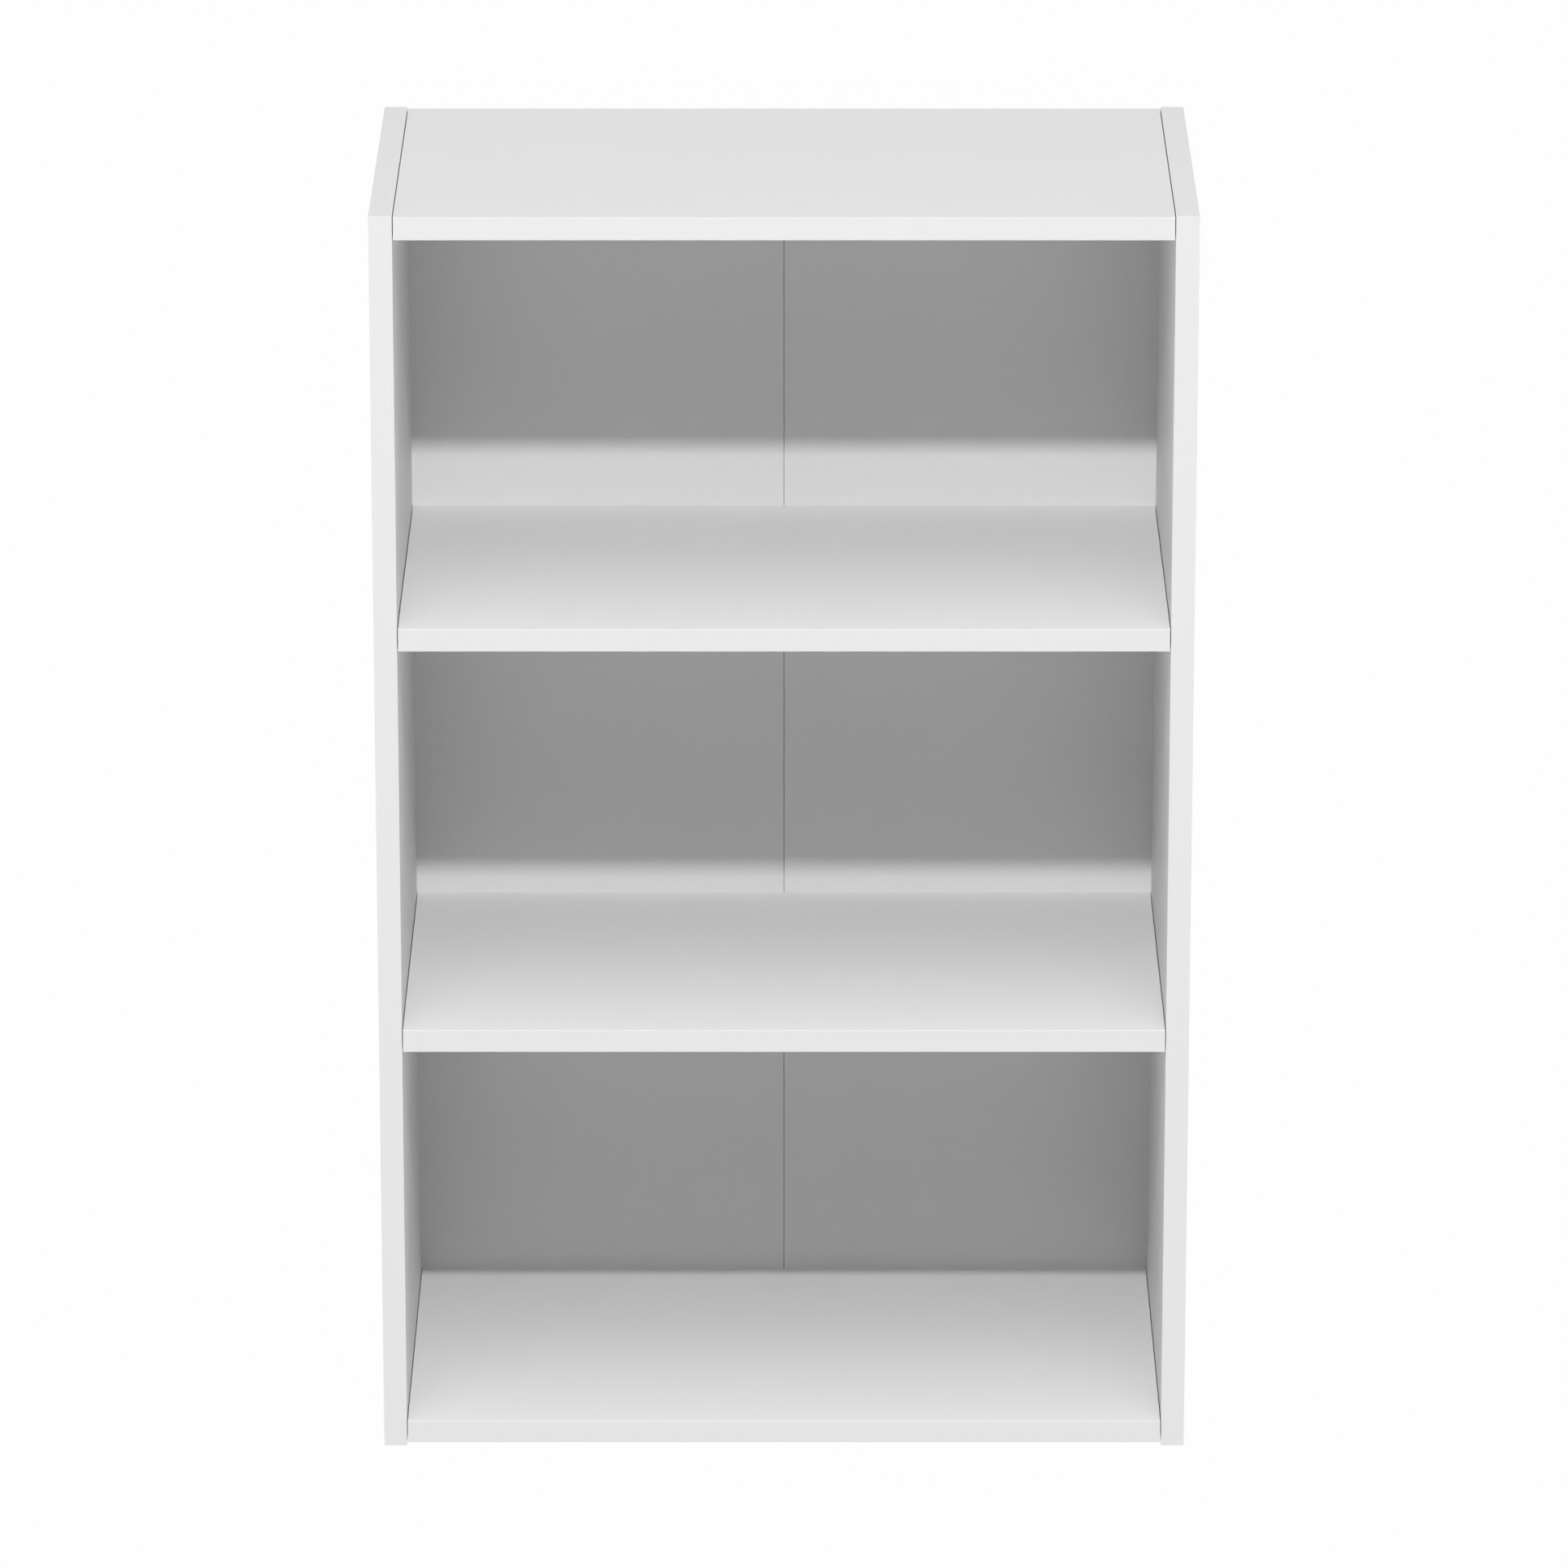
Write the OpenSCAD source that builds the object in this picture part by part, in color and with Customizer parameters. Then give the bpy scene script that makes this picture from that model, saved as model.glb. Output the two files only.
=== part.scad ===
// Flat-pack bookcase with three equal open compartments.
// The front faces -Y and +Z is up. The origin is on the floor, under the middle of the case.
// Two sides carry four fixed boards on cam fittings and dowels, and a two-leaf
// back is nailed onto the rear edges.

/* [Case] */
// Overall width, over both sides
case_w = 560; // [420:1:760]
// Overall height, from the floor to the tops of the sides
case_h = 890; // [700:1:1200]
// Overall depth, from the front edging to the tape on the back
case_d = 300; // [240:1:380]

/* [Boards] */
// Thickness of the sides, panels and shelves
board_t = 16; // [15:1:22]
// Drop from the tops of the sides to the top panel
top_reveal = 1.2; // [0.5:0.1:6]
// Gap between the floor and the bottom shelf
toe_gap = 2.4; // [1:0.1:60]
// Open joint line at each end of a board
end_gap = 0.6; // [0.2:0.1:1]

/* [Edging] */
// Thickness of the edging strip
edging_t = 1; // [0.6:0.1:2]
// Radius of the two outer arrises of the strip
edging_r = 0.4; // [0.2:0.05:0.5]

/* [Back] */
// Thickness of the hardboard back
back_t = 3; // [2:0.5:5]
// Inset of the back from the sides, the top panel and the bottom shelf
back_inset = 3; // [1:0.5:6]
// Gap between the two leaves of the back
seam_gap = 0.3; // [0.1:0.1:1]
// Ease on the front arris of each leaf, along the fold
seam_ease = 0.4; // [0.2:0.1:1]
// Width of the hinge tape behind the fold
tape_w = 50; // [30:1:70]
// Thickness of the hinge tape
tape_t = 0.2; // [0.1:0.05:0.4]

/* [Hole pattern] */
// Distance of the front and rear cam fittings from the edges of a board
fitting_inset = 37; // [32:1:50]
// Distance from a cam fitting to the dowel beside it
dowel_offset = 32; // [20:1:40]
// Board left solid above a cam
cam_skin = 3.5; // [3:0.5:5]
// Side left solid behind a bolt or a dowel
side_skin = 5; // [4:0.5:6]
// Extra depth at the bottom of a blind hole
hole_play = 0.5; // [0.2:0.1:1]

/* [Cam fittings] */
// Diameter of the cam's hole
cam_hole_d = 15; // [12:1:20]
// Play all round a cam in its hole
cam_play = 0.1; // [0.05:0.05:0.3]
// Distance from the inner face of a side to the middle of a cam
cam_reach = 34; // [24:1:40]
// Diameter of the bolt's hole in the end of a board
bolt_hole_d = 8; // [7:0.5:9]
// Diameter of the bolt's thread
bolt_thread_d = 5; // [4:0.5:6]
// Diameter of the bolt's collar
bolt_collar_d = 7; // [6.5:0.5:7]
// Thickness of the bolt's collar
bolt_collar_t = 1.5; // [1:0.5:3]
// Diameter of the bolt's shank
bolt_shank_d = 5.5; // [5:0.5:6]
// Diameter of the bolt's neck
bolt_neck_d = 3.6; // [3:0.2:4]
// Length of the bolt's neck
bolt_neck_l = 6.4; // [5:0.2:7]
// Diameter of the bolt's head
bolt_head_d = 6.4; // [5.6:0.2:7]
// Length of the bolt's head
bolt_head_l = 3.6; // [3:0.2:5]
// Chamfer on the bolt's head and on the end of its thread
bolt_chamfer = 0.8; // [0.4:0.1:1]
// Play round the bolt's head and neck inside a cam
bolt_play = 0.3; // [0.1:0.1:0.5]
// Length of the cross recess in a cam
recess_l = 8; // [6:0.5:9]
// Width of the cross recess in a cam
recess_w = 1.4; // [1:0.1:2]
// Depth of the cross recess in a cam
recess_deep = 2; // [1:0.5:3]

/* [Dowels] */
// Diameter of the dowels
dowel_d = 8; // [6:1:10]
// Length of the dowels
dowel_l = 30; // [25:1:40]
// Chamfer on both ends of a dowel
dowel_chamfer = 1; // [0.5:0.1:1.5]

/* [Nails] */
// Length of the nails, head included
nail_l = 20; // [16:1:25]
// Diameter of the nail's shank
nail_d = 1.6; // [1.2:0.1:2]
// Diameter of the nail's head
nail_head_d = 4; // [3:0.5:5]
// Thickness of the nail's head
nail_head_t = 0.8; // [0.5:0.1:1]
// Length of the nail's point
nail_point = 3; // [2:0.5:4]
// Distance of an end nail from the side, the tape or the end of the back
nail_edge = 12; // [8:1:20]
// Widest spacing between two nails
nail_pitch = 110; // [80:5:150]

/* [Hidden] */

$fn = 48;
eps = 0.01;

// The four board levels, counted up from the bottom shelf
bottom_level = 0;
lower_level = 1;
upper_level = 2;
top_level = 3;

// Planes of the case, front to rear
front_y = -case_d / 2;
core_front_y = front_y + edging_t;
nail_rear_y = case_d / 2;
back_rear_y = nail_rear_y - tape_t;
back_front_y = back_rear_y - back_t;
core_d = back_front_y - core_front_y;

// Widths inside the case
inner_w = case_w - 2 * board_t;
shelf_l = inner_w - 2 * end_gap;

// Heights
level_pitch = (case_h - toe_gap - top_reveal - board_t) / top_level;
back_bottom_z = toe_gap + back_inset;
back_top_z = case_h - top_reveal - back_inset;
back_h = back_top_z - back_bottom_z;
leaf_w = case_w / 2 - back_inset - seam_gap / 2;

// Hole pattern, along the depth of a board
fitting_ys = [front_y + fitting_inset, back_front_y - fitting_inset];
dowel_ys = [fitting_ys[0] + dowel_offset, fitting_ys[1] - dowel_offset];

// Depth to which bolts and dowels go into a side
anchor_l = board_t - side_skin - hole_play;

// Cam fitting, measured from the inner face of a side
cam_h = board_t - cam_skin;
cam_r = cam_hole_d / 2 - cam_play;
head_start = cam_reach - bolt_head_l / 2;
neck_start = head_start - bolt_neck_l;

// Length of a dowel beyond the inner face of a side
dowel_in_board = dowel_l - anchor_l;

// Nails: spread(a, b) gives evenly spaced places from a to b, at most nail_pitch apart
function spread(a, b) =
    let (gaps = ceil((b - a) / nail_pitch))
    [for (i = [0 : gaps]) a + (b - a) * i / gaps];
side_nail_x = inner_w / 2 + board_t / 2;
side_nail_zs = spread(back_bottom_z + nail_edge, back_top_z - nail_edge);
shelf_nail_xs = spread(tape_w / 2 + nail_edge, inner_w / 2 - nail_edge);

function level_z(level) = toe_gap + level * level_pitch;

// ---- Repeated shapes ----

// Draws its children at the left end of the case and mirrored at the right end
module both_ends() {
    children();
    mirror([1, 0, 0]) children();
}

// Puts its children on the inner face of the left side, level with the middle of a
// board, at each place in ys, with +Z turned to point into the board
module on_left_face(level, ys) {
    for (y = ys)
        translate([-inner_w / 2, y, level_z(level) + board_t / 2])
            rotate([0, 90, 0])
                children();
}

// Edging strip standing on Z, glued face on y = 0, outer face towards -Y
module edging_strip(length) {
    half = board_t / 2;
    linear_extrude(length) {
        translate([-half, edging_r - edging_t])
            square([board_t, edging_t - edging_r]);
        translate([edging_r - half, -edging_t])
            square([board_t - 2 * edging_r, edging_t]);
        for (x = [edging_r - half, half - edging_r])
            translate([x, edging_r - edging_t])
                circle(edging_r);
    }
}

// Cam bolt: thread below z = 0, collar on z = 0, head in the cam
module cam_bolt() {
    thread_r = bolt_thread_d / 2;
    head_r = bolt_head_d / 2;
    head_end = head_start + bolt_head_l;
    rotate_extrude()
        polygon([
            [0, -anchor_l],
            [thread_r - bolt_chamfer, -anchor_l],
            [thread_r, bolt_chamfer - anchor_l],
            [thread_r, 0],
            [bolt_collar_d / 2, 0],
            [bolt_collar_d / 2, bolt_collar_t],
            [bolt_shank_d / 2, bolt_collar_t],
            [bolt_shank_d / 2, neck_start],
            [bolt_neck_d / 2, neck_start],
            [bolt_neck_d / 2, head_start],
            [head_r, head_start],
            [head_r, head_end - bolt_chamfer],
            [head_r - bolt_chamfer, head_end],
            [0, head_end]
        ]);
}

// Dowel: its lower part goes into the side, the rest into the board
module dowel() {
    r = dowel_d / 2;
    rotate_extrude()
        polygon([
            [0, -anchor_l],
            [r - dowel_chamfer, -anchor_l],
            [r, dowel_chamfer - anchor_l],
            [r, dowel_in_board - dowel_chamfer],
            [r - dowel_chamfer, dowel_in_board],
            [0, dowel_in_board]
        ]);
}

// Cam, upright, its driven face on z = 0 and its middle on the Z axis. The bolt comes
// from -X. The head went in from -Y, and the quarter-turn groove lets the neck follow.
module cam_disc() {
    mid_z = board_t / 2;
    neck_w = bolt_neck_d + 2 * bolt_play;
    head_hole_d = bolt_head_d + 2 * bolt_play;
    chamber_back = bolt_head_l / 2 + bolt_play;
    difference() {
        cylinder(r = cam_r, h = cam_h);
        translate([-bolt_head_l / 2, 0, mid_z])
            rotate([0, 90, 0])
                cylinder(d = head_hole_d, h = chamber_back + bolt_head_l / 2);
        translate([0, 0, mid_z])
            rotate([90, 0, 0])
                cylinder(d = head_hole_d, h = cam_r + eps);
        translate([0, 0, mid_z - neck_w / 2])
            rotate([0, 0, 180])
                rotate_extrude(angle = 90)
                    translate([bolt_head_l / 2 - eps, 0])
                        square([cam_r, neck_w]);
        translate([-cam_r - eps, -neck_w / 2, mid_z - neck_w / 2])
            cube([cam_r, neck_w, neck_w]);
        for (turn = [45, 135])
            rotate([0, 0, turn])
                translate([-recess_l / 2, -recess_w / 2, -eps])
                    cube([recess_l, recess_w, recess_deep + eps]);
    }
}

// Nail along -Y, the rear of its head on y = 0
module nail() {
    r = nail_d / 2;
    rotate([90, 0, 0])
        rotate_extrude()
            polygon([
                [0, 0],
                [nail_head_d / 2, 0],
                [nail_head_d / 2, nail_head_t],
                [r, nail_head_t],
                [r, nail_l - nail_point],
                [0, nail_l]
            ]);
}

// ---- Groups of fasteners ----

module cam_bolts(level) {
    both_ends()
        on_left_face(level, fitting_ys)
            cam_bolt();
}

module cams(level) {
    both_ends()
        for (y = fitting_ys)
            translate([cam_reach - inner_w / 2, y, level_z(level)])
                cam_disc();
}

module dowels(level) {
    both_ends()
        on_left_face(level, dowel_ys)
            dowel();
}

module side_nails() {
    for (z = side_nail_zs)
        translate([-side_nail_x, nail_rear_y, z])
            nail();
}

module half_shelf_nails(level) {
    for (x = shelf_nail_xs)
        translate([-x, nail_rear_y, level_z(level) + board_t / 2])
            nail();
}

// ---- Boards ----

// Left side: a core board drilled on its inner face, nailed at the rear
module side_core() {
    difference() {
        translate([-case_w / 2, core_front_y, 0])
            cube([board_t, core_d, case_h - edging_t]);
        for (level = [bottom_level : top_level]) {
            on_left_face(level, fitting_ys)
                translate([0, 0, -anchor_l - hole_play])
                    cylinder(d = bolt_thread_d, h = anchor_l + hole_play + eps);
            on_left_face(level, dowel_ys)
                translate([0, 0, -anchor_l - hole_play])
                    cylinder(d = dowel_d, h = anchor_l + hole_play + eps);
        }
        side_nails();
    }
}

// Panel or shelf: drilled in both ends for bolts and dowels, and below for the cams
module shelf_core(level) {
    difference() {
        translate([-shelf_l / 2, core_front_y, level_z(level)])
            cube([shelf_l, core_d, board_t]);
        both_ends() {
            on_left_face(level, fitting_ys)
                cylinder(d = bolt_hole_d, h = cam_reach);
            on_left_face(level, dowel_ys)
                cylinder(d = dowel_d, h = dowel_in_board + hole_play);
            for (y = fitting_ys)
                translate([cam_reach - inner_w / 2, y, level_z(level) - eps])
                    cylinder(d = cam_hole_d, h = cam_h + eps);
            half_shelf_nails(level);
        }
    }
}

// Strip on the front edge of a side, from the floor to the top
module side_front_strip() {
    translate([(board_t - case_w) / 2, core_front_y, 0])
        edging_strip(case_h);
}

// Strip on the top edge of a side, behind the front strip
module side_top_strip() {
    translate([(board_t - case_w) / 2, back_front_y, case_h - edging_t])
        rotate([90, 0, 0])
            mirror([0, 1, 0])
                edging_strip(core_d);
}

// Strip on the front edge of a panel or shelf
module shelf_strip(level) {
    translate([-shelf_l / 2, core_front_y, level_z(level) + board_t / 2])
        rotate([0, 90, 0])
            edging_strip(shelf_l);
}

// Left leaf of the back, eased along the fold, with its nail holes
module leaf() {
    left_x = back_inset - case_w / 2;
    fold_x = left_x + leaf_w;
    difference() {
        translate([0, 0, back_bottom_z])
            linear_extrude(back_h)
                polygon([
                    [left_x, back_front_y],
                    [fold_x - seam_ease, back_front_y],
                    [fold_x, back_front_y + seam_ease],
                    [fold_x, back_rear_y],
                    [left_x, back_rear_y]
                ]);
        side_nails();
        for (level = [bottom_level : top_level])
            half_shelf_nails(level);
    }
}

// Tape that hinges the two leaves behind the fold
module fold_tape() {
    translate([-tape_w / 2, back_rear_y, back_bottom_z])
        cube([tape_w, tape_t, back_h]);
}

// ---- Sub-parts ----

module left_side() { color("white") side_core(); }
module right_side() { color("white") mirror([1, 0, 0]) side_core(); }
module top_panel() { color("white") shelf_core(top_level); }
module upper_shelf() { color("white") shelf_core(upper_level); }
module lower_shelf() { color("white") shelf_core(lower_level); }
module bottom_shelf() { color("white") shelf_core(bottom_level); }

module left_side_front_edging() { color("whitesmoke") side_front_strip(); }
module right_side_front_edging() { color("whitesmoke") mirror([1, 0, 0]) side_front_strip(); }
module left_side_top_edging() { color("whitesmoke") side_top_strip(); }
module right_side_top_edging() { color("whitesmoke") mirror([1, 0, 0]) side_top_strip(); }
module top_panel_edging() { color("whitesmoke") shelf_strip(top_level); }
module upper_shelf_edging() { color("whitesmoke") shelf_strip(upper_level); }
module lower_shelf_edging() { color("whitesmoke") shelf_strip(lower_level); }
module bottom_shelf_edging() { color("whitesmoke") shelf_strip(bottom_level); }

module back_leaf_left() { color("gainsboro") leaf(); }
module back_leaf_right() { color("gainsboro") mirror([1, 0, 0]) leaf(); }
module back_fold_tape() { color("wheat") fold_tape(); }

module top_panel_cam_bolts() { color("silver") cam_bolts(top_level); }
module upper_shelf_cam_bolts() { color("silver") cam_bolts(upper_level); }
module lower_shelf_cam_bolts() { color("silver") cam_bolts(lower_level); }
module bottom_shelf_cam_bolts() { color("silver") cam_bolts(bottom_level); }
module top_panel_cams() { color("lightslategray") cams(top_level); }
module upper_shelf_cams() { color("lightslategray") cams(upper_level); }
module lower_shelf_cams() { color("lightslategray") cams(lower_level); }
module bottom_shelf_cams() { color("lightslategray") cams(bottom_level); }
module top_panel_dowels() { color("burlywood") dowels(top_level); }
module upper_shelf_dowels() { color("burlywood") dowels(upper_level); }
module lower_shelf_dowels() { color("burlywood") dowels(lower_level); }
module bottom_shelf_dowels() { color("burlywood") dowels(bottom_level); }

module left_side_nails() { color("silver") side_nails(); }
module right_side_nails() { color("silver") mirror([1, 0, 0]) side_nails(); }
module top_panel_nails() { color("silver") both_ends() half_shelf_nails(top_level); }
module upper_shelf_nails() { color("silver") both_ends() half_shelf_nails(upper_level); }
module lower_shelf_nails() { color("silver") both_ends() half_shelf_nails(lower_level); }
module bottom_shelf_nails() { color("silver") both_ends() half_shelf_nails(bottom_level); }

left_side();
right_side();
top_panel();
upper_shelf();
lower_shelf();
bottom_shelf();
left_side_front_edging();
right_side_front_edging();
left_side_top_edging();
right_side_top_edging();
top_panel_edging();
upper_shelf_edging();
lower_shelf_edging();
bottom_shelf_edging();
back_leaf_left();
back_leaf_right();
back_fold_tape();
top_panel_cam_bolts();
upper_shelf_cam_bolts();
lower_shelf_cam_bolts();
bottom_shelf_cam_bolts();
top_panel_cams();
upper_shelf_cams();
lower_shelf_cams();
bottom_shelf_cams();
top_panel_dowels();
upper_shelf_dowels();
lower_shelf_dowels();
bottom_shelf_dowels();
left_side_nails();
right_side_nails();
top_panel_nails();
upper_shelf_nails();
lower_shelf_nails();
bottom_shelf_nails();
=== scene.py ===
"""Flat-pack bookcase: white melamine-faced boards with white edging, a two-leaf hardboard back,
cam fittings, dowels and nails, on a plain white stage. Lengths are in metres."""

import math

import bpy
import numpy as np
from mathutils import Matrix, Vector


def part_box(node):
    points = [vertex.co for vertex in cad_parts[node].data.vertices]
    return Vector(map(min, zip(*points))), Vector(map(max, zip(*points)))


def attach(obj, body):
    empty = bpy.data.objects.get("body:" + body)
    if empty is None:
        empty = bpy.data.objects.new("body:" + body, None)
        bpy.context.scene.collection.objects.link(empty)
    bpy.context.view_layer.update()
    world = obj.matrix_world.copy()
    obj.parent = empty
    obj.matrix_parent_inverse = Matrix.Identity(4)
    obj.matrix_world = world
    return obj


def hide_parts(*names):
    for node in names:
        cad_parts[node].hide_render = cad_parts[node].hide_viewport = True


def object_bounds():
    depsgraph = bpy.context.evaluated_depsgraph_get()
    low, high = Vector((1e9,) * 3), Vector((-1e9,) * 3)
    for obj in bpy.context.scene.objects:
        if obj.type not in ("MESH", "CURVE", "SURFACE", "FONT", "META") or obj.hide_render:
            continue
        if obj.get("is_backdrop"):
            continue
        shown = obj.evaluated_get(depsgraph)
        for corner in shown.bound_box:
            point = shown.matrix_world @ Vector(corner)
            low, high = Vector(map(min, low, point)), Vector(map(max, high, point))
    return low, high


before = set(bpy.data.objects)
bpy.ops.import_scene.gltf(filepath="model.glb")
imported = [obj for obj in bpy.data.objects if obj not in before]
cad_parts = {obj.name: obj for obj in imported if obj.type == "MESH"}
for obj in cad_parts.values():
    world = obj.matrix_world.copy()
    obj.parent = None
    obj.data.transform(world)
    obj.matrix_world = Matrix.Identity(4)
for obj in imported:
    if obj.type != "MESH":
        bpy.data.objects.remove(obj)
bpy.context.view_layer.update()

MM = 0.001
X, Y, Z = 0, 1, 2
SHELVES = ("top_panel", "upper_shelf", "lower_shelf", "bottom_shelf")
SIDES = ("left_side", "right_side")
BODY = "root"


def box_of(node):
    """Lowest and highest corners of a node of the frame, as arrays."""
    low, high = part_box(node)
    return np.array(low), np.array(high)


def middles(node, axis, least_gap=10 * MM):
    """Middle of each separate solid of a node along one axis, told apart by the gaps between."""
    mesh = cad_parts[node].data
    places = np.empty(len(mesh.vertices) * 3, np.float32)
    mesh.vertices.foreach_get("co", places)
    places = np.unique(places.reshape(-1, 3)[:, axis].astype(float))
    breaks = np.flatnonzero(np.diff(places) > least_gap)
    firsts = places[np.r_[0, breaks + 1]]
    lasts = places[np.r_[breaks, len(places) - 1]]
    return (firsts + lasts) / 2


# ---- Node helpers ----


def hex_colour(code):
    """Linear RGBA from an sRGB hex code such as #E8E8E8."""
    parts = np.array([int(code[i:i + 2], 16) for i in (1, 3, 5)]) / 255
    linear = np.where(parts <= 0.04045, parts / 12.92, ((parts + 0.055) / 1.055) ** 2.4)
    return (*linear.tolist(), 1.0)


def add_node(tree, kind, settings, sockets):
    """Adds one node, sets its properties, and sets its inputs. An input given a socket is linked
    to it, and one given a node is linked to that node's first output in use."""
    node = tree.nodes.new(kind)
    for name, value in settings.items():
        setattr(node, name, value)
    for name, value in sockets.items():
        if isinstance(value, bpy.types.Node):
            value = next(output for output in value.outputs if output.enabled)
        if isinstance(value, bpy.types.NodeSocket):
            tree.links.new(value, node.inputs[name])
        else:
            node.inputs[name].default_value = value
    return node


def empty_material(name):
    """A new material, and its node tree with no nodes."""
    material = bpy.data.materials.new(name)
    material.use_nodes = True
    material.node_tree.nodes.clear()
    return material, material.node_tree


def start_material(name):
    """A new material, its node tree, and the piece's own Object coordinates."""
    material, tree = empty_material(name)
    return material, tree, add_node(tree, "ShaderNodeTexCoord", {}, {}).outputs["Object"]


def end_material(tree, sockets):
    """The surface shader with the given inputs, and the output."""
    shader = add_node(tree, "ShaderNodeBsdfPrincipled", {}, sockets)
    add_node(tree, "ShaderNodeOutputMaterial", {}, {"Surface": shader})


def per_metre(*sizes):
    """Cells a metre along X, Y and Z for a pattern whose cells have these sizes."""
    return [1 / size for size in sizes]


# ---- Finishes ----

# One white runs through the boards, the edging and the front of the back, as the maker matches
# them. A shade of it stands for pigment that varies a little.
WHITE = "#DEDEDE"
WHITE_SHADE = "#DCDCDC"
# Depth of the white at a board's faces, and behind the front of the back, over its eased lips.
FACING_T = 0.2 * MM
LACQUER_DEPTH = 0.6 * MM


def faced_chipboard(node, axis):
    """Chipboard faced on both sides with white melamine paper, pressed hard between satin plates.
    The faces read as one even, slightly soft white with a pearl so fine that it only calms the
    highlights. Sawn edges and bores show flat wood chips, which lie along the faces."""
    low, high = box_of(node)
    material, tree, place = start_material("melamine_faced_chipboard_" + node)
    across = add_node(tree, "ShaderNodeSeparateXYZ", {}, {0: place}).outputs[axis]
    off_middle = add_node(tree, "ShaderNodeMath", {"operation": "SUBTRACT"},
                          {0: across, 1: (low[axis] + high[axis]) / 2})
    depth = add_node(tree, "ShaderNodeMath", {"operation": "ABSOLUTE"}, {0: off_middle})
    facing = add_node(tree, "ShaderNodeMath", {"operation": "GREATER_THAN"},
                      {0: depth, 1: (high[axis] - low[axis]) / 2 - FACING_T})

    # Printed white: clouds about 80 mm across, as the paper's pigment varies by well under a shade.
    clouds = add_node(tree, "ShaderNodeTexNoise", {},
                      {"Vector": place, "Scale": 1 / (80 * MM), "Detail": 2.0})
    white = add_node(tree, "ShaderNodeMix", {"data_type": "RGBA"},
                     {0: clouds, 6: hex_colour(WHITE), 7: hex_colour(WHITE_SHADE)})
    # Plate pearl: really about 0.4 mm, drawn at 2.5 mm so that it still shows close up.
    pearl = add_node(tree, "ShaderNodeTexNoise", {},
                     {"Vector": place, "Scale": 1 / (2.5 * MM), "Detail": 1.0})

    # Core: flat chips about 4 mm long and wide and 0.7 mm thick, their outlines ragged from a finer
    # noise, in tones from straw to bark, with darker gaps between them, sunk a little.
    chip_size = [4 * MM] * 3
    chip_size[axis] = 0.7 * MM
    chip_cells = add_node(tree, "ShaderNodeVectorMath", {"operation": "MULTIPLY"},
                          {0: place, 1: per_metre(*chip_size)})
    ragged = add_node(tree, "ShaderNodeTexNoise", {},
                      {"Vector": chip_cells, "Scale": 1.3, "Detail": 2.0})
    ragged_cells = add_node(tree, "ShaderNodeVectorMath", {"operation": "MULTIPLY_ADD"},
                            {0: ragged.outputs["Color"], 1: (0.9, 0.9, 0.9), 2: chip_cells})
    chips = add_node(tree, "ShaderNodeTexVoronoi", {}, {"Vector": ragged_cells, "Scale": 1.0})
    chip_tone = add_node(tree, "ShaderNodeMix", {"data_type": "RGBA"},
                         {0: chips.outputs["Color"],
                          6: hex_colour("#9A784F"), 7: hex_colour("#D0B287")})
    gaps = add_node(tree, "ShaderNodeMapRange", {},
                    {"Value": chips.outputs["Distance"], "From Min": 0.45, "From Max": 0.95,
                     "To Max": 0.7})
    core = add_node(tree, "ShaderNodeMix", {"data_type": "RGBA"},
                    {0: gaps, 6: chip_tone, 7: hex_colour("#75573A")})

    colour = add_node(tree, "ShaderNodeMix", {"data_type": "RGBA"}, {0: facing, 6: core, 7: white})
    roughness = add_node(tree, "ShaderNodeMix", {}, {0: facing, 2: 0.9, 3: 0.5})
    pearl_depth = add_node(tree, "ShaderNodeMath", {"operation": "MULTIPLY"},
                           {0: pearl, 1: 0.008 * MM})
    chip_depth = add_node(tree, "ShaderNodeMath", {"operation": "MULTIPLY"},
                          {0: gaps, 1: -0.2 * MM})
    relief = add_node(tree, "ShaderNodeMix", {}, {0: facing, 2: chip_depth, 3: pearl_depth})
    tilt = add_node(tree, "ShaderNodeBump", {}, {"Height": relief, "Distance": 1.0})
    end_material(tree, {"Base Color": colour, "Roughness": roughness, "Normal": tilt})
    return material


def extruded_edging(length_axis):
    """White ABS edging, extruded and glued on hot, then scraped flush. Faint draw lines run the
    whole length of a strip, so its sheen is drawn out along it, a little glossier than the board."""
    material, tree, place = start_material("extruded_white_abs_along_" + "xyz"[length_axis])
    # Draw lines: really about 0.2 mm apart, drawn at 0.8 mm so that they show close up.
    line_size = [0.8 * MM] * 3
    line_size[length_axis] = 250 * MM
    line_cells = add_node(tree, "ShaderNodeVectorMath", {"operation": "MULTIPLY"},
                          {0: place, 1: per_metre(*line_size)})
    lines = add_node(tree, "ShaderNodeTexNoise", {},
                     {"Vector": line_cells, "Scale": 1.0, "Detail": 1.0})
    colour = add_node(tree, "ShaderNodeMix", {"data_type": "RGBA"},
                      {0: lines, 6: hex_colour(WHITE), 7: hex_colour(WHITE_SHADE)})
    roughness = add_node(tree, "ShaderNodeMapRange", {},
                         {"Value": lines, "To Min": 0.42, "To Max": 0.5})
    tilt = add_node(tree, "ShaderNodeBump", {}, {"Height": lines, "Distance": 0.004 * MM})
    end_material(tree, {"Base Color": colour, "Roughness": roughness, "Normal": tilt})
    return material


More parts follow.
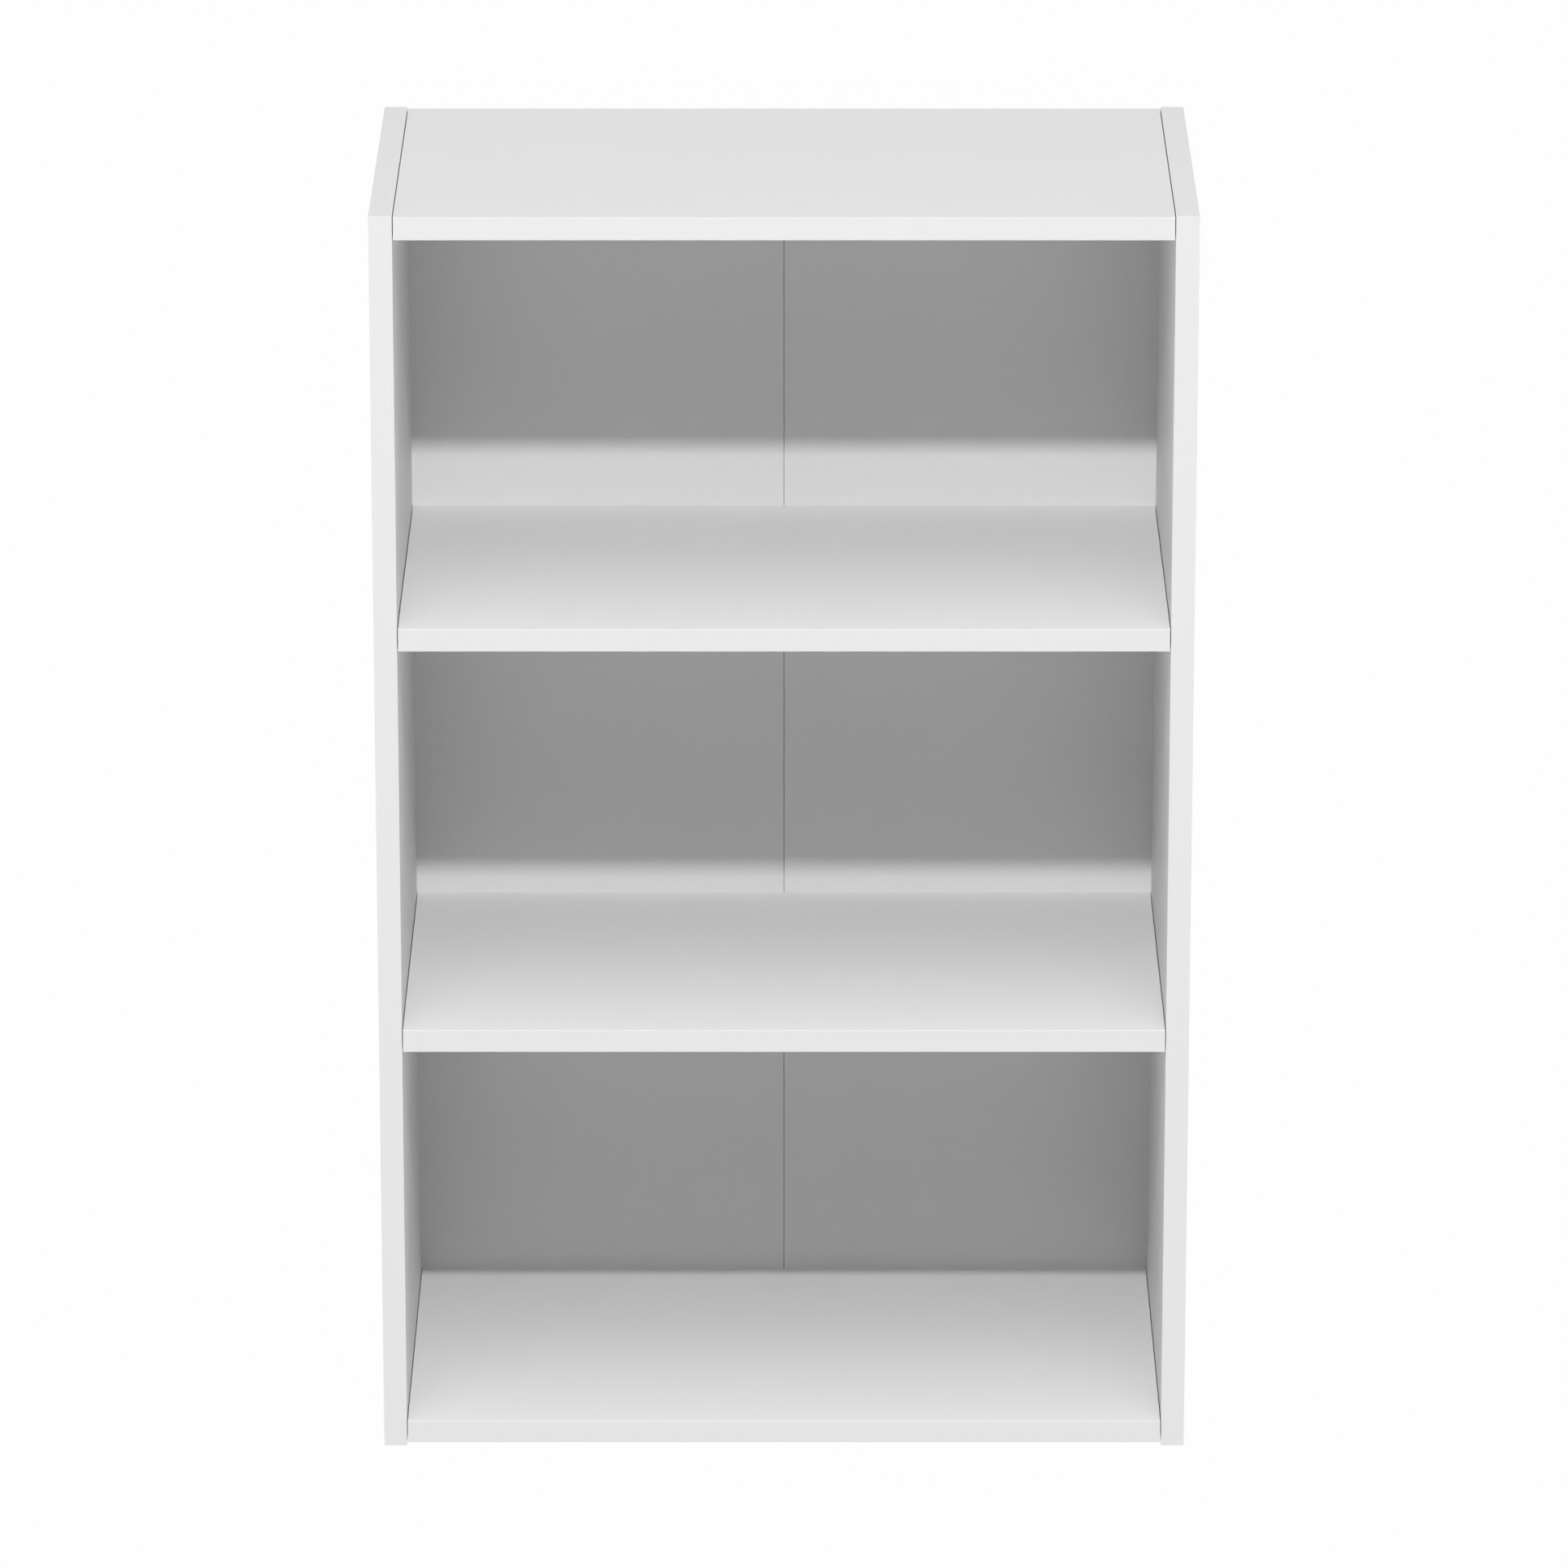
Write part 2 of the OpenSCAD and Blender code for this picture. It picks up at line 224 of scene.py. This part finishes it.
def lacquered_hardboard():
    """Dry-pressed hardboard, roller-lacquered white on the front only. The front is the same white
    as the boards, a touch duller. The rear and the edges are smooth brown fibre with short pale
    and dark flecks and a slow mottle from the mat of fibres."""
    material, tree, place = start_material("lacquered_hardboard")
    front = box_of("back_leaf_left")[0][Y]
    rearward = add_node(tree, "ShaderNodeSeparateXYZ", {}, {0: place}).outputs["Y"]
    bare = add_node(tree, "ShaderNodeMath", {"operation": "GREATER_THAN"},
                    {0: rearward, 1: front + LACQUER_DEPTH})
    # Lacquer: roller orange peel about 4 mm across.
    peel = add_node(tree, "ShaderNodeTexNoise", {},
                    {"Vector": place, "Scale": 1 / (4 * MM), "Detail": 1.0})
    lacquer = add_node(tree, "ShaderNodeMix", {"data_type": "RGBA"},
                       {0: peel, 6: hex_colour(WHITE), 7: hex_colour(WHITE_SHADE)})
    # Fibre mat: mottle about 30 mm across, flecks about 1.5 mm wide.
    mottle = add_node(tree, "ShaderNodeTexNoise", {},
                      {"Vector": place, "Scale": 1 / (30 * MM), "Detail": 3.0})
    mat = add_node(tree, "ShaderNodeMix", {"data_type": "RGBA"},
                   {0: mottle, 6: hex_colour("#7E6042"), 7: hex_colour("#9A7B58")})
    flecks = add_node(tree, "ShaderNodeTexNoise", {},
                      {"Vector": place, "Scale": 1 / (3 * MM), "Detail": 4.0, "Roughness": 0.7,
                       "Distortion": 1.5})
    pale = add_node(tree, "ShaderNodeMapRange", {},
                    {"Value": flecks, "From Min": 0.56, "From Max": 0.72, "To Max": 0.5})
    dark = add_node(tree, "ShaderNodeMapRange", {},
                    {"Value": flecks, "From Min": 0.44, "From Max": 0.3, "To Max": 0.5})
    paled = add_node(tree, "ShaderNodeMix", {"data_type": "RGBA"},
                     {0: pale, 6: mat, 7: hex_colour("#B99A74")})
    fibre = add_node(tree, "ShaderNodeMix", {"data_type": "RGBA"},
                     {0: dark, 6: paled, 7: hex_colour("#5B432C")})
    colour = add_node(tree, "ShaderNodeMix", {"data_type": "RGBA"}, {0: bare, 6: lacquer, 7: fibre})
    roughness = add_node(tree, "ShaderNodeMix", {}, {0: bare, 2: 0.55, 3: 0.7})
    peel_depth = add_node(tree, "ShaderNodeMath", {"operation": "MULTIPLY"},
                          {0: peel, 1: 0.01 * MM})
    fibre_depth = add_node(tree, "ShaderNodeMath", {"operation": "MULTIPLY"},
                           {0: flecks, 1: 0.12 * MM})
    relief = add_node(tree, "ShaderNodeMix", {}, {0: bare, 2: peel_depth, 3: fibre_depth})
    tilt = add_node(tree, "ShaderNodeBump", {}, {"Height": relief, "Distance": 1.0})
    end_material(tree, {"Base Color": colour, "Roughness": roughness, "Normal": tilt})
    return material


def gummed_kraft_paper():
    """Kraft paper tape, machine-made and glued wet. Dull and nearly even brown: the fibres give a
    faint streak along the roll and a scatter of pale hairs, and soft darker patches show where the
    glue struck through."""
    material, tree, place = start_material("gummed_kraft_paper")
    # Streaks: really about 0.3 mm wide, drawn at 0.9 mm.
    streak_cells = add_node(tree, "ShaderNodeVectorMath", {"operation": "MULTIPLY"},
                            {0: place, 1: per_metre(0.9 * MM, 0.9 * MM, 5 * MM)})
    streaks = add_node(tree, "ShaderNodeTexNoise", {},
                       {"Vector": streak_cells, "Scale": 1.0, "Detail": 3.0, "Roughness": 0.6})
    paper = add_node(tree, "ShaderNodeMix", {"data_type": "RGBA"},
                     {0: streaks, 6: hex_colour("#B18D62"), 7: hex_colour("#C3A076")})
    hairs = add_node(tree, "ShaderNodeTexNoise", {},
                     {"Vector": place, "Scale": 1 / (2.4 * MM), "Detail": 3.0, "Distortion": 2.0})
    pale = add_node(tree, "ShaderNodeMapRange", {},
                    {"Value": hairs, "From Min": 0.6, "From Max": 0.75, "To Max": 0.45})
    haired = add_node(tree, "ShaderNodeMix", {"data_type": "RGBA"},
                      {0: pale, 6: paper, 7: hex_colour("#D9BC94")})
    patches = add_node(tree, "ShaderNodeTexNoise", {},
                       {"Vector": place, "Scale": 1 / (22 * MM), "Detail": 2.0})
    struck = add_node(tree, "ShaderNodeMapRange", {},
                      {"Value": patches, "From Min": 0.5, "From Max": 0.75, "To Max": 0.3})
    colour = add_node(tree, "ShaderNodeMix", {"data_type": "RGBA"},
                      {0: struck, 6: haired, 7: hex_colour("#94724B")})
    tilt = add_node(tree, "ShaderNodeBump", {}, {"Height": streaks, "Distance": 0.05 * MM})
    end_material(tree, {"Base Color": colour, "Roughness": 0.85, "Normal": tilt})
    return material


def zinc_plated_steel():
    """Turned steel bolts, barrel-plated with clear-passivated zinc. Bright but not mirror-like,
    with faint blue clouds, and small dents from tumbling in the barrel."""
    material, tree, place = start_material("barrel_plated_zinc_on_steel")
    clouds = add_node(tree, "ShaderNodeTexNoise", {},
                      {"Vector": place, "Scale": 1 / (4 * MM), "Detail": 2.0})
    colour = add_node(tree, "ShaderNodeMix", {"data_type": "RGBA"},
                      {0: clouds, 6: hex_colour("#C6C8C9"), 7: hex_colour("#ABB3BC")})
    dents = add_node(tree, "ShaderNodeTexNoise", {},
                     {"Vector": place, "Scale": 1 / (0.8 * MM), "Detail": 1.0})
    roughness = add_node(tree, "ShaderNodeMapRange", {},
                         {"Value": dents, "To Min": 0.26, "To Max": 0.4})
    tilt = add_node(tree, "ShaderNodeBump", {}, {"Height": dents, "Distance": 0.02 * MM})
    end_material(tree, {"Base Color": colour, "Roughness": roughness, "Metallic": 1.0,
                        "Normal": tilt})
    return material


def die_cast_zinc():
    """Cam discs, die-cast in zinc and left as cast. Grey and soft in its sheen, with a fine grain
    and slightly darker flow marks."""
    material, tree, place = start_material("die_cast_zinc")
    flow = add_node(tree, "ShaderNodeTexNoise", {},
                    {"Vector": place, "Scale": 1 / (5 * MM), "Detail": 2.0, "Distortion": 1.0})
    colour = add_node(tree, "ShaderNodeMix", {"data_type": "RGBA"},
                      {0: flow, 6: hex_colour("#B2B2B0"), 7: hex_colour("#8F9092")})
    grain = add_node(tree, "ShaderNodeTexNoise", {},
                     {"Vector": place, "Scale": 1 / (0.6 * MM), "Detail": 2.0})
    tilt = add_node(tree, "ShaderNodeBump", {}, {"Height": grain, "Distance": 0.05 * MM})
    end_material(tree, {"Base Color": colour, "Roughness": 0.5, "Metallic": 1.0, "Normal": tilt})
    return material


def beech_wood():
    """Beech dowels, moulded with flutes and left bare. Pale straight grain runs along the dowel,
    crossed by the short brown rays that mark beech."""
    material, tree, place = start_material("bare_beech")
    grain_cells = add_node(tree, "ShaderNodeVectorMath", {"operation": "MULTIPLY"},
                           {0: place, 1: per_metre(18 * MM, 0.9 * MM, 0.9 * MM)})
    grain = add_node(tree, "ShaderNodeTexNoise", {},
                     {"Vector": grain_cells, "Scale": 1.0, "Detail": 2.0})
    wood = add_node(tree, "ShaderNodeMix", {"data_type": "RGBA"},
                    {0: grain, 6: hex_colour("#CDA87C"), 7: hex_colour("#E4CBA5")})
    ray_cells = add_node(tree, "ShaderNodeVectorMath", {"operation": "MULTIPLY"},
                         {0: place, 1: per_metre(1.8 * MM, 0.3 * MM, 0.3 * MM)})
    rays = add_node(tree, "ShaderNodeTexNoise", {},
                    {"Vector": ray_cells, "Scale": 1.0, "Detail": 0.0})
    marked = add_node(tree, "ShaderNodeMapRange", {},
                      {"Value": rays, "From Min": 0.62, "From Max": 0.7, "To Max": 0.6})
    colour = add_node(tree, "ShaderNodeMix", {"data_type": "RGBA"},
                      {0: marked, 6: wood, 7: hex_colour("#9C6F45")})
    tilt = add_node(tree, "ShaderNodeBump", {}, {"Height": grain, "Distance": 0.05 * MM})
    end_material(tree, {"Base Color": colour, "Roughness": 0.65, "Normal": tilt})
    return material


def bright_drawn_steel():
    """Wire nails, drawn and cold-headed. Grey bright steel with draw lines along the shank and a
    trace of dark oil."""
    material, tree, place = start_material("bright_drawn_steel")
    # Draw lines: really about 0.05 mm, drawn at 0.3 mm.
    line_cells = add_node(tree, "ShaderNodeVectorMath", {"operation": "MULTIPLY"},
                          {0: place, 1: per_metre(0.3 * MM, 6 * MM, 0.3 * MM)})
    lines = add_node(tree, "ShaderNodeTexNoise", {},
                     {"Vector": line_cells, "Scale": 1.0, "Detail": 1.0})
    colour = add_node(tree, "ShaderNodeMix", {"data_type": "RGBA"},
                      {0: lines, 6: hex_colour("#8D8E90"), 7: hex_colour("#B9BABB")})
    roughness = add_node(tree, "ShaderNodeMapRange", {},
                         {"Value": lines, "To Min": 0.3, "To Max": 0.45})
    tilt = add_node(tree, "ShaderNodeBump", {}, {"Height": lines, "Distance": 0.01 * MM})
    end_material(tree, {"Base Color": colour, "Roughness": roughness, "Metallic": 1.0,
                        "Normal": tilt})
    return material


def finish_node(node, material):
    """Gives every slot of a node of the frame one finish."""
    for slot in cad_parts[node].material_slots:
        slot.material = material


hardboard = lacquered_hardboard()
kraft_paper = gummed_kraft_paper()
bolt_zinc = zinc_plated_steel()
cam_zinc = die_cast_zinc()
beech = beech_wood()
nail_steel = bright_drawn_steel()
edging_along = [extruded_edging(axis) for axis in (X, Y, Z)]

for side in SIDES:
    finish_node(side, faced_chipboard(side, X))
    finish_node(side + "_front_edging", edging_along[Z])
    finish_node(side + "_top_edging", edging_along[Y])
for shelf in SHELVES:
    finish_node(shelf, faced_chipboard(shelf, Z))
    finish_node(shelf + "_edging", edging_along[X])
    finish_node(shelf + "_cams", cam_zinc)
for leaf in ("back_leaf_left", "back_leaf_right"):
    finish_node(leaf, hardboard)

# ---- New pieces ----

# Faces that meet at more than this angle meet in a sharp edge.
SHARP_ANGLE = math.radians(38)


def add_piece(name, points, faces, material, node, slot):
    """One finished piece in place of a node of the frame, smooth between its sharp edges."""
    mesh = bpy.data.meshes.new(name)
    mesh.from_pydata(points.tolist(), [], faces)
    mesh.materials.append(material)
    mesh.shade_smooth()
    mesh.set_sharp_from_angle(angle=SHARP_ANGLE)
    piece = bpy.data.objects.new(name, mesh)
    bpy.context.scene.collection.objects.link(piece)
    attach(piece, BODY)
    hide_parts(node)
    return piece


def turned_copies(along, radius, roots, ways):
    """Points and faces of one turned solid, copied to each root. Ring i lies along[i] from the root
    on the copy's own axis, and its point at angle a stands radius[i, a] off the axis. Flat faces
    close the two ends. ways holds a 3 x 3 turn for each copy, whose last column is its axis."""
    rings, facets = radius.shape
    angle = np.arange(facets) * 2 * np.pi / facets
    solid = np.stack([radius * np.cos(angle), radius * np.sin(angle),
                      np.broadcast_to(along[:, None], radius.shape)], -1).reshape(-1, 3)
    points = roots[:, None] + np.einsum("nij,kj->nki", ways, solid)

    here = np.arange(rings * facets).reshape(rings, facets)
    beside = np.roll(here, -1, 1)
    walls = np.stack([here[:-1], beside[:-1], beside[1:], here[1:]], -1).reshape(-1, 4)
    shift = np.arange(len(roots)) * rings * facets
    walls = (walls + shift[:, None, None]).reshape(-1, 4)
    starts = here[0, ::-1] + shift[:, None]
    ends = here[-1] + shift[:, None]
    return points.reshape(-1, 3), walls.tolist() + starts.tolist() + ends.tolist()


# Turns that carry a solid's own axis onto +X, -X and -Y.
TO_RIGHT = np.array([[0, 0, 1], [1, 0, 0], [0, 1, 0]], float)
TO_LEFT = np.array([[0, 0, -1], [-1, 0, 0], [0, 1, 0]], float)
TO_FRONT = np.array([[1, 0, 0], [0, 0, -1], [0, 1, 0]], float)


def end_fitting_places(node):
    """Roots and turns for fittings that start in the sides and run inwards, left end then right."""
    low, high = box_of(node)
    height = (low[Z] + high[Z]) / 2
    roots = [(x, y, height) for x in (low[X], high[X]) for y in middles(node, Y)]
    ways = [TO_RIGHT] * (len(roots) // 2) + [TO_LEFT] * (len(roots) // 2)
    return np.array(roots), np.array(ways)


def threaded_bolt():
    """Profile of a cam bolt from its tip. The thread's radius is a core plus a ridge, and the ridge
    is a triangle wave of the height less the turn, so it winds up the bolt. The core tapers at the
    tip, and the ridge fades at both ends. Beyond it the radius follows the collar, the shank, the
    neck and the head, all round."""
    thread_l, thread_r, core_r, pitch = 10.5 * MM, 2.5 * MM, 1.75 * MM, 2.1 * MM
    tip_l, run_out = 1.6 * MM, 0.9 * MM
    tip_share, ridge_share = 0.45, 0.28
    facets, rings = 36, 51
    turn = np.arange(facets) / facets
    up = np.linspace(0, thread_l, rings)
    wave = (up[:, None] / pitch - turn) % 1
    ridge = np.clip(1 - np.abs(wave - 0.5) / ridge_share, 0, 1)
    fade = np.clip(np.minimum(up / tip_l, (thread_l - up) / run_out), 0, 1)
    tip = np.clip(tip_share + (1 - tip_share) * up / tip_l, 0, 1)
    thread = (core_r * tip)[:, None] + (thread_r - core_r) * ridge * fade[:, None]

    # Distance from the inner face of the side, and radius: collar, shank, neck, head.
    body = np.array([(0, 3.5), (1.5, 3.5), (1.5, 2.75), (25.5, 2.75), (25.8, 1.8), (32.2, 1.8),
                     (32.2, 2.7), (32.6, 3.2), (35.0, 3.2), (35.6, 2.8), (35.8, 2.2)]) * MM
    along = np.r_[up, body[:, 0] + thread_l]
    radius = np.r_[thread, np.repeat(body[:, 1:], facets, 1)]
    return along, radius


def fluted_dowel():
    """Profile of a dowel: a chamfered rod whose radius dips in eighteen straight flutes. Each dip
    is half of one plus the cosine of eighteen turns, squared, and it runs out at the chamfers."""
    flutes, facets = 18, 108
    along = np.array([0, 1.0, 1.4, 28.6, 29.0, 30.0]) * MM
    rod = np.array([3.0, 3.85, 4.0, 4.0, 3.85, 3.0]) * MM
    depth = np.array([0.0, 0.25, 0.4, 0.4, 0.25, 0.0]) * MM
    turn = np.arange(facets) * 2 * np.pi / facets
    dip = (0.5 + 0.5 * np.cos(flutes * turn)) ** 2
    return along, rod[:, None] - depth[:, None] * dip


def driven_nail():
    """Profile of a nail from the middle of its head: a low dome, which is an arc of height against
    radius, then the rim, the shank with three grip rings, and the point."""
    dome_h, dome_r, facets = 0.25, 1.97, 24
    # The arc begins beside the middle, and stops a little short of upright at the rim.
    out = np.linspace(0.12, 1, 7)
    dome = np.stack([dome_h * (1 - np.sqrt(1 - (0.98 * out) ** 2)), dome_r * out], 1)
    rest = np.array([(0.35, 2.0), (0.75, 2.0), (0.8, 0.8), (1.6, 0.8), (1.75, 0.68), (1.9, 0.8),
                     (2.5, 0.8), (2.65, 0.68), (2.8, 0.8), (3.4, 0.8), (3.55, 0.68), (3.7, 0.8),
                     (17.0, 0.8), (18.6, 0.5), (20.0, 0.06)])
    profile = np.r_[dome, rest] * MM
    return profile[:, 0], np.repeat(profile[:, 1:], facets, 1)


for shelf in SHELVES:
    node = shelf + "_cam_bolts"
    points, faces = turned_copies(*threaded_bolt(), *end_fitting_places(node))
    add_piece(shelf + "_threaded_bolts", points, faces, bolt_zinc, node, "bolt")
    node = shelf + "_dowels"
    points, faces = turned_copies(*fluted_dowel(), *end_fitting_places(node))
    add_piece(shelf + "_fluted_dowels", points, faces, beech, node, "dowel")
for board in SHELVES + SIDES:
    node = board + "_nails"
    low, high = box_of(node)
    roots = np.array([(x, high[Y], z) for x in middles(node, X) for z in middles(node, Z)])
    ways = np.repeat(TO_FRONT[None], len(roots), 0)
    points, faces = turned_copies(*driven_nail(), roots, ways)
    add_piece(board + "_driven_nails", points, faces, nail_steel, node, "nail")


def wave_angle(distance, length):
    """How far a wave of a given length has turned at a distance."""
    return distance * 2 * np.pi / length


def cockled_tape():
    """Paper tape over the fold. Its outer face is a grid across and up the tape, whose height over
    the hardboard is a sum of slow cockles and finer puckers, as wet-glued paper dries, less a
    shallow crease along the fold. It thins out at its cut edges, which wander by a sum of slow
    waves up the tape. A flat grid lies under it."""
    low, high = box_of("back_fold_tape")
    columns, rows = 51, 301
    edge_wander, crease_w = 0.4 * MM, 0.9 * MM
    # Shares of the tape's thickness and of its half width.
    thinnest, crease_depth, thin_edge = 0.35, 0.7, 0.04
    across, up = np.meshgrid(np.linspace(-1, 1, columns), np.linspace(0, 1, rows))
    half = (high[X] - low[X]) / 2
    length = high[Z] - low[Z]
    z = low[Z] + up * length

    wander = (0.5 + 0.3 * np.sin(wave_angle(z, 213 * MM) + across)
              + 0.2 * np.sin(wave_angle(z, 71 * MM)))
    x = across * (half - edge_wander * wander)
    cockles = (np.sin(wave_angle(x, 31 * MM) + 3 * np.sin(wave_angle(z, 190 * MM)))
               * np.sin(wave_angle(z, 47 * MM) + 2 * np.sin(wave_angle(x, 60 * MM))))
    puckers = (np.sin(wave_angle(z, 17 * MM) + wave_angle(x, 23 * MM))
               * np.sin(wave_angle(z, 290 * MM)) ** 2)
    lift = np.clip(0.5 + 0.31 * (cockles + 0.6 * puckers), 0, 1)
    crease = np.exp(-((x / crease_w) ** 2))
    edge = np.clip((1 - np.abs(across)) / thin_edge, 0, 1)
    fullness = lift * edge * (1 - crease_depth * crease)
    thick = (high[Y] - low[Y]) * (thinnest + (1 - thinnest) * fullness)
    outer = np.stack([x, low[Y] + thick, z], -1)
    inner = np.stack([x, np.full_like(x, low[Y]), z], -1)

    here = np.arange(rows * columns).reshape(rows, columns)
    under = here + rows * columns
    back = np.stack([here[:-1, 1:], here[:-1, :-1], here[1:, :-1], here[1:, 1:]], -1)
    front = np.stack([under[:-1, :-1], under[:-1, 1:], under[1:, 1:], under[1:, :-1]], -1)
    rim = np.r_[here[0], here[1:, -1], here[-1, -2::-1], here[-2:0:-1, 0]]
    rim_under = rim + rows * columns
    walls = np.stack([rim, np.roll(rim, -1), np.roll(rim_under, -1), rim_under], -1)
    faces = np.r_[back.reshape(-1, 4), front.reshape(-1, 4), walls]
    return np.r_[outer.reshape(-1, 3), inner.reshape(-1, 3)], faces.tolist()


add_piece("cockled_fold_tape", *cockled_tape(), kraft_paper, "back_fold_tape", "tape")

# ---- Stage ----

STAGE_R = 25.0
STAGE_WHITE = "#FEFEFE"
RIM_SIDES = 64
DOME_RINGS = 23
DOME_SIDES = 48


def add_stage(name, points, faces):
    """A sheet of even off-white that only the camera sees."""
    mesh = bpy.data.meshes.new(name)
    mesh.from_pydata(points.tolist(), [], faces)
    sheet = bpy.data.objects.new(name, mesh)
    bpy.context.scene.collection.objects.link(sheet)
    material, tree = empty_material(name + "_white")
    glowing = add_node(tree, "ShaderNodeEmission", {}, {"Color": hex_colour(STAGE_WHITE)})
    add_node(tree, "ShaderNodeOutputMaterial", {}, {"Surface": glowing})
    mesh.materials.append(material)
    sheet.visible_diffuse = False
    sheet.visible_glossy = False
    sheet.visible_transmission = False
    sheet.visible_shadow = False
    sheet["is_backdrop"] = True


def round_floor():
    """One flat round face: its rim is a circle of the stage's radius on the ground."""
    turn = np.linspace(0, 2 * np.pi, RIM_SIDES, endpoint=False)
    rim = np.stack([np.cos(turn), np.sin(turn), 0 * turn], 1) * STAGE_R
    return rim, [list(range(RIM_SIDES))]


def round_backdrop():
    """A sphere about the origin that faces inwards: each point is the stage's radius times the
    direction at a rise and a turn. Flat faces close it above and below."""
    rises = np.linspace(-90, 90, DOME_RINGS + 2)[1:-1]
    turns = np.linspace(0, 360, DOME_SIDES, endpoint=False)
    rise, turn = np.radians(np.meshgrid(rises, turns, indexing="ij"))
    dome = STAGE_R * np.stack([np.cos(rise) * np.cos(turn), np.cos(rise) * np.sin(turn),
                               np.sin(rise)], -1)
    here = np.arange(rise.size).reshape(rise.shape)
    beside = np.roll(here, -1, 1)
    walls = np.stack([here[:-1], here[1:], beside[1:], beside[:-1]], -1).reshape(-1, 4)
    return dome.reshape(-1, 3), walls.tolist() + [here[0].tolist(), here[-1, ::-1].tolist()]


add_stage("floor", *round_floor())
add_stage("backdrop", *round_backdrop())

# ---- Light ----

# Soft light from large panels, the same on the left and the right: azimuth from the front and
# elevation in degrees, strength, and how sharply a panel fades from its middle.
PANELS = (
    (0, 90, 3.878, 24), (0, 60, 4.392, 24), (35, 45, 0.575, 24),
    (0, 0, 0.693, 24), (0, -30, 1.788, 24),
    (70, 15, 0.890, 24), (70, -15, 1.475, 24), (70, -45, 3.261, 24),
    (112, -15, 2.0, 8), (180, -20, 2.5, 8),
)

world = bpy.data.worlds.new("studio")
bpy.context.scene.world = world
world.use_nodes = True
studio = world.node_tree
studio.nodes.clear()
way = add_node(studio, "ShaderNodeTexCoord", {}, {}).outputs["Generated"]
parts = add_node(studio, "ShaderNodeSeparateXYZ", {}, {0: way})
sideways = add_node(studio, "ShaderNodeMath", {"operation": "ABSOLUTE"}, {0: parts.outputs["X"]})
folded = add_node(studio, "ShaderNodeCombineXYZ", {},
                  {"X": sideways, "Y": parts.outputs["Y"], "Z": parts.outputs["Z"]})
glow = 0.0
for azimuth, elevation, strength, fade in PANELS:
    a, e = math.radians(azimuth), math.radians(elevation)
    toward = (math.sin(a) * math.cos(e), -math.cos(a) * math.cos(e), math.sin(e))
    facing = add_node(studio, "ShaderNodeVectorMath", {"operation": "DOT_PRODUCT"},
                      {0: folded, 1: toward}).outputs["Value"]
    near_half = add_node(studio, "ShaderNodeMath", {"operation": "MAXIMUM"}, {0: facing, 1: 0.0})
    panel = add_node(studio, "ShaderNodeMath", {"operation": "POWER"}, {0: near_half, 1: fade})
    glow = add_node(studio, "ShaderNodeMath", {"operation": "MULTIPLY_ADD"},
                    {0: panel, 1: strength, 2: glow})
background = add_node(studio, "ShaderNodeBackground", {},
                      {"Color": (1.0, 1.0, 1.0, 1.0), "Strength": glow})
add_node(studio, "ShaderNodeOutputWorld", {}, {"Surface": background})


def aim(thing, place, target):
    """Puts a lamp or a camera at place, looking at target."""
    thing.location = place
    thing.rotation_euler = (Vector(target) - Vector(place)).to_track_quat("-Z", "Y").to_euler()
    bpy.context.scene.collection.objects.link(thing)


# One small bright lamp gives the shadow edges. Its light falls off with the distance, not with its
# square, as from a long bank of lamps, so the top of the case is little brighter than the foot.
LAMP_PLACE = (0.0, -3.646, 3.59)
LAMP_TARGET = (0.0, 0.0, 0.445)
LAMP_W = 0.16
LAMP_POWER = 100.0
LAMP_STRENGTH = 0.278

lamp = bpy.data.lights.new("key", "AREA")
lamp.shape = "DISK"
lamp.size = LAMP_W
lamp.energy = LAMP_POWER
lamp.use_nodes = True
lamp.node_tree.nodes.clear()
fall_off = add_node(lamp.node_tree, "ShaderNodeLightFalloff", {}, {"Strength": LAMP_STRENGTH})
shine = add_node(lamp.node_tree, "ShaderNodeEmission", {},
                 {"Strength": fall_off.outputs["Linear"]})
add_node(lamp.node_tree, "ShaderNodeOutputLight", {}, {"Surface": shine})
aim(bpy.data.objects.new("key", lamp), LAMP_PLACE, LAMP_TARGET)

# ---- Camera ----

CAMERA_DISTANCE = 7.0
CAMERA_PITCH = math.radians(18.15)
TARGET_HEIGHT = 0.4385
# Width of the picture at the target, and the farthest that the camera sees, past the backdrop.
PICTURE_W = 1.0996
FARTHEST = 100.0

camera_data = bpy.data.cameras.new("camera")
camera_data.lens = camera_data.sensor_width * CAMERA_DISTANCE / PICTURE_W
camera_data.clip_end = FARTHEST
camera = bpy.data.objects.new("camera", camera_data)
camera_back = CAMERA_DISTANCE * math.cos(CAMERA_PITCH)
camera_height = TARGET_HEIGHT + CAMERA_DISTANCE * math.sin(CAMERA_PITCH)
aim(camera, (0.0, -camera_back, camera_height), (0.0, 0.0, TARGET_HEIGHT))
bpy.context.scene.camera = camera
bpy.context.scene.view_settings.view_transform = "Standard"

low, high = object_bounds()
